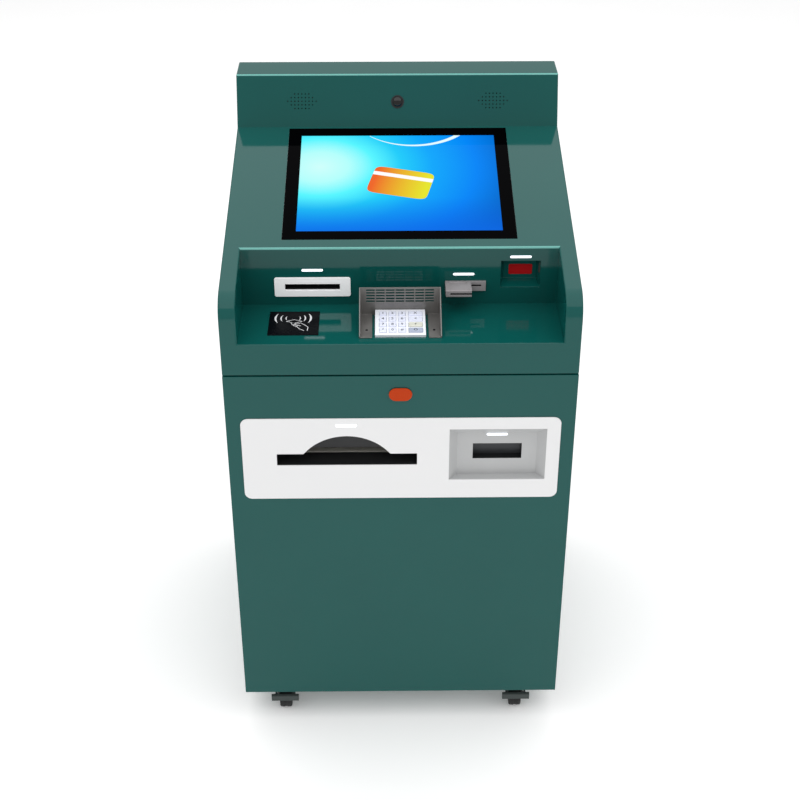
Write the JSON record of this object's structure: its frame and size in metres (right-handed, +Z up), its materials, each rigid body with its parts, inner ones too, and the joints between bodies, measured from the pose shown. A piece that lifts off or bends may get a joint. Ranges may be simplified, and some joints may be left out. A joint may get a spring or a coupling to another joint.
{
  "type": "atm machine",
  "caption": "Self-service bank kiosk on castors with sloped touch screen, keypad alcove, paper and cash outlets, and hinged front and rear doors.",
  "frame": {"origin": "on the floor under the middle of the kiosk's box, castors down", "axes": "+X to the customer's right, +Y from the customer's side to the back, +Z up"},
  "size_m": [0.634, 0.637, 1.1844],
  "materials": {
    "green_paint": "gloss powder coat",
    "white_fascia": "satin white",
    "dark_liner": "matt black",
    "orange_cover": "moulded orange",
    "screen_glass": "black bordered touch glass",
    "black_plastic": "fine texture",
    "grey_metal": "satin stainless",
    "zinc_steel": "zinc plated",
    "grey_plastic": "moulded grey",
    "key_plate": "pale anodised",
    "light_diffuser": "opal diffuser",
    "paper": "thermal paper",
    "wheel_rubber": "moulded tread",
    "beige_plastic": "moulded housing",
    "cassette_plastic": "moulded cassette"
  },
  "bodies": {
    "cabinet": {"base_tray": "green_paint", "side_panel_left": "green_paint", "side_panel_right": "green_paint", "console_liner": "green_paint", "screen_panel": "green_paint", "header_shell": "green_paint", "monitor_glass": "screen_glass", "monitor_body": "zinc_steel", "camera": "black_plastic", "speakers": "black_plastic", "receipt_bezel": "white_fascia", "receipt_printer": "dark_liner", "card_reader": "grey_plastic", "scanner_housing": "green_paint", "contactless_pad": "black_plastic", "pin_pad": "key_plate", "pin_guard": "grey_metal", "alcove_lights": "light_diffuser", "hinge_pins": "zinc_steel", "castor_brackets": "zinc_steel", "equipment_rack": "zinc_steel", "document_printer": "beige_plastic", "cash_dispenser": "zinc_steel", "cash_cassettes": "cassette_plastic", "control_computer": "dark_liner"},
    "front_door": {"front_door": "green_paint", "fascia_plate": "white_fascia", "paper_chute": "dark_liner", "cash_throat": "white_fascia", "door_lights": "light_diffuser"},
    "lock_cover": {"lock_cover": "orange_cover"},
    "front_lock": {"front_lock": "zinc_steel"},
    "cash_shutter": {"cash_shutter": "dark_liner"},
    "rear_door": {"rear_door": "green_paint"},
    "rear_lock": {"rear_lock": "zinc_steel"},
    "paper_roll": {"paper_roll": "paper"},
    "key_1": {"key_1": "key_plate"},
    "key_2": {"key_2": "key_plate"},
    "key_3": {"key_3": "key_plate"},
    "key_cancel": {"key_cancel": "key_plate"},
    "key_4": {"key_4": "key_plate"},
    "key_5": {"key_5": "key_plate"},
    "key_6": {"key_6": "key_plate"},
    "key_clear": {"key_clear": "key_plate"},
    "key_7": {"key_7": "key_plate"},
    "key_8": {"key_8": "key_plate"},
    "key_9": {"key_9": "key_plate"},
    "key_help": {"key_help": "key_plate"},
    "key_left": {"key_left": "key_plate"},
    "key_0": {"key_0": "key_plate"},
    "key_right": {"key_right": "key_plate"},
    "key_enter": {"key_enter": "key_plate"},
    "castor_fork_left": {"castor_fork_left": "zinc_steel"},
    "brake_pedal_left": {"brake_pedal_left": "black_plastic"},
    "wheel_front_left": {"wheel_front_left": "wheel_rubber"},
    "wheel_rear_left": {"wheel_rear_left": "wheel_rubber"},
    "castor_fork_right": {"castor_fork_right": "zinc_steel"},
    "brake_pedal_right": {"brake_pedal_right": "black_plastic"},
    "wheel_front_right": {"wheel_front_right": "wheel_rubber"},
    "wheel_rear_right": {"wheel_rear_right": "wheel_rubber"}
  },
  "joints": [
    {"name": "front_door_hinge", "type": "hinge", "parent": "cabinet", "child": "front_door", "pos_m": [-0.313, -0.2935, 0.472], "axis": [0, 0, -1], "range_deg": [0, 110]},
    {"name": "lock_cover_swing", "type": "hinge", "parent": "front_door", "child": "lock_cover", "pos_m": [-0.0162, -0.3155, 0.79], "axis": [0, 1, 0], "range_deg": [0, 90]},
    {"name": "front_lock_turn", "type": "hinge", "parent": "front_door", "child": "front_lock", "pos_m": [0.0076, -0.3055, 0.79], "axis": [0, 1, 0], "range_deg": [0, 90]},
    {"name": "cash_shutter_slide", "type": "slide", "parent": "front_door", "child": "cash_shutter", "axis": [0, 0, 1], "range_m": [0, 0.036]},
    {"name": "rear_door_hinge", "type": "hinge", "parent": "cabinet", "child": "rear_door", "pos_m": [-0.305, 0.312, 0.522], "axis": [0, 0, 1], "range_deg": [0, 105]},
    {"name": "rear_lock_turn", "type": "hinge", "parent": "rear_door", "child": "rear_lock", "pos_m": [0.285, 0.3155, 0.552], "axis": [0, 1, 0], "range_deg": [0, 90]},
    {"name": "paper_roll_spin", "type": "hinge", "parent": "cabinet", "child": "paper_roll", "pos_m": [-0.1589, -0.0375, 0.937], "axis": [1, 0, 0], "continuous": true},
    {"name": "key_1_press", "type": "slide", "parent": "cabinet", "child": "key_1", "axis": [0, 0.1002, -0.995], "range_m": [0, 0.0015], "stiffness_N_per_m": 400, "springref_m": -0.001},
    {"name": "key_2_press", "type": "slide", "parent": "cabinet", "child": "key_2", "axis": [0, 0.1002, -0.995], "range_m": [0, 0.0015], "stiffness_N_per_m": 400, "springref_m": -0.001},
    {"name": "key_3_press", "type": "slide", "parent": "cabinet", "child": "key_3", "axis": [0, 0.1002, -0.995], "range_m": [0, 0.0015], "stiffness_N_per_m": 400, "springref_m": -0.001},
    {"name": "key_cancel_press", "type": "slide", "parent": "cabinet", "child": "key_cancel", "axis": [0, 0.1002, -0.995], "range_m": [0, 0.0015], "stiffness_N_per_m": 400, "springref_m": -0.001},
    {"name": "key_4_press", "type": "slide", "parent": "cabinet", "child": "key_4", "axis": [0, 0.1002, -0.995], "range_m": [0, 0.0015], "stiffness_N_per_m": 400, "springref_m": -0.001},
    {"name": "key_5_press", "type": "slide", "parent": "cabinet", "child": "key_5", "axis": [0, 0.1002, -0.995], "range_m": [0, 0.0015], "stiffness_N_per_m": 400, "springref_m": -0.001},
    {"name": "key_6_press", "type": "slide", "parent": "cabinet", "child": "key_6", "axis": [0, 0.1002, -0.995], "range_m": [0, 0.0015], "stiffness_N_per_m": 400, "springref_m": -0.001},
    {"name": "key_clear_press", "type": "slide", "parent": "cabinet", "child": "key_clear", "axis": [0, 0.1002, -0.995], "range_m": [0, 0.0015], "stiffness_N_per_m": 400, "springref_m": -0.001},
    {"name": "key_7_press", "type": "slide", "parent": "cabinet", "child": "key_7", "axis": [0, 0.1002, -0.995], "range_m": [0, 0.0015], "stiffness_N_per_m": 400, "springref_m": -0.001},
    {"name": "key_8_press", "type": "slide", "parent": "cabinet", "child": "key_8", "axis": [0, 0.1002, -0.995], "range_m": [0, 0.0015], "stiffness_N_per_m": 400, "springref_m": -0.001},
    {"name": "key_9_press", "type": "slide", "parent": "cabinet", "child": "key_9", "axis": [0, 0.1002, -0.995], "range_m": [0, 0.0015], "stiffness_N_per_m": 400, "springref_m": -0.001},
    {"name": "key_help_press", "type": "slide", "parent": "cabinet", "child": "key_help", "axis": [0, 0.1002, -0.995], "range_m": [0, 0.0015], "stiffness_N_per_m": 400, "springref_m": -0.001},
    {"name": "key_left_press", "type": "slide", "parent": "cabinet", "child": "key_left", "axis": [0, 0.1002, -0.995], "range_m": [0, 0.0015], "stiffness_N_per_m": 400, "springref_m": -0.001},
    {"name": "key_0_press", "type": "slide", "parent": "cabinet", "child": "key_0", "axis": [0, 0.1002, -0.995], "range_m": [0, 0.0015], "stiffness_N_per_m": 400, "springref_m": -0.001},
    {"name": "key_right_press", "type": "slide", "parent": "cabinet", "child": "key_right", "axis": [0, 0.1002, -0.995], "range_m": [0, 0.0015], "stiffness_N_per_m": 400, "springref_m": -0.001},
    {"name": "key_enter_press", "type": "slide", "parent": "cabinet", "child": "key_enter", "axis": [0, 0.1002, -0.995], "range_m": [0, 0.0015], "stiffness_N_per_m": 400, "springref_m": -0.001},
    {"name": "castor_swivel_left", "type": "hinge", "parent": "cabinet", "child": "castor_fork_left", "pos_m": [-0.238, -0.2475, 0.062], "axis": [0, 0, 1], "continuous": true},
    {"name": "brake_pedal_press_left", "type": "hinge", "parent": "castor_fork_left", "child": "brake_pedal_left", "pos_m": [-0.238, -0.2755, 0.054], "axis": [1, 0, 0], "range_deg": [0, 10]},
    {"name": "wheel_front_spin_left", "type": "hinge", "parent": "castor_fork_left", "child": "wheel_front_left", "pos_m": [-0.238, -0.2725, 0.025], "axis": [1, 0, 0], "continuous": true},
    {"name": "wheel_rear_spin_left", "type": "hinge", "parent": "cabinet", "child": "wheel_rear_left", "pos_m": [-0.238, 0.2555, 0.025], "axis": [1, 0, 0], "continuous": true},
    {"name": "castor_swivel_right", "type": "hinge", "parent": "cabinet", "child": "castor_fork_right", "pos_m": [0.238, -0.2475, 0.062], "axis": [0, 0, 1], "continuous": true},
    {"name": "brake_pedal_press_right", "type": "hinge", "parent": "castor_fork_right", "child": "brake_pedal_right", "pos_m": [0.238, -0.2755, 0.054], "axis": [1, 0, 0], "range_deg": [0, 10]},
    {"name": "wheel_front_spin_right", "type": "hinge", "parent": "castor_fork_right", "child": "wheel_front_right", "pos_m": [0.238, -0.2725, 0.025], "axis": [1, 0, 0], "continuous": true},
    {"name": "wheel_rear_spin_right", "type": "hinge", "parent": "cabinet", "child": "wheel_rear_right", "pos_m": [0.238, 0.2555, 0.025], "axis": [1, 0, 0], "continuous": true}
  ]
}
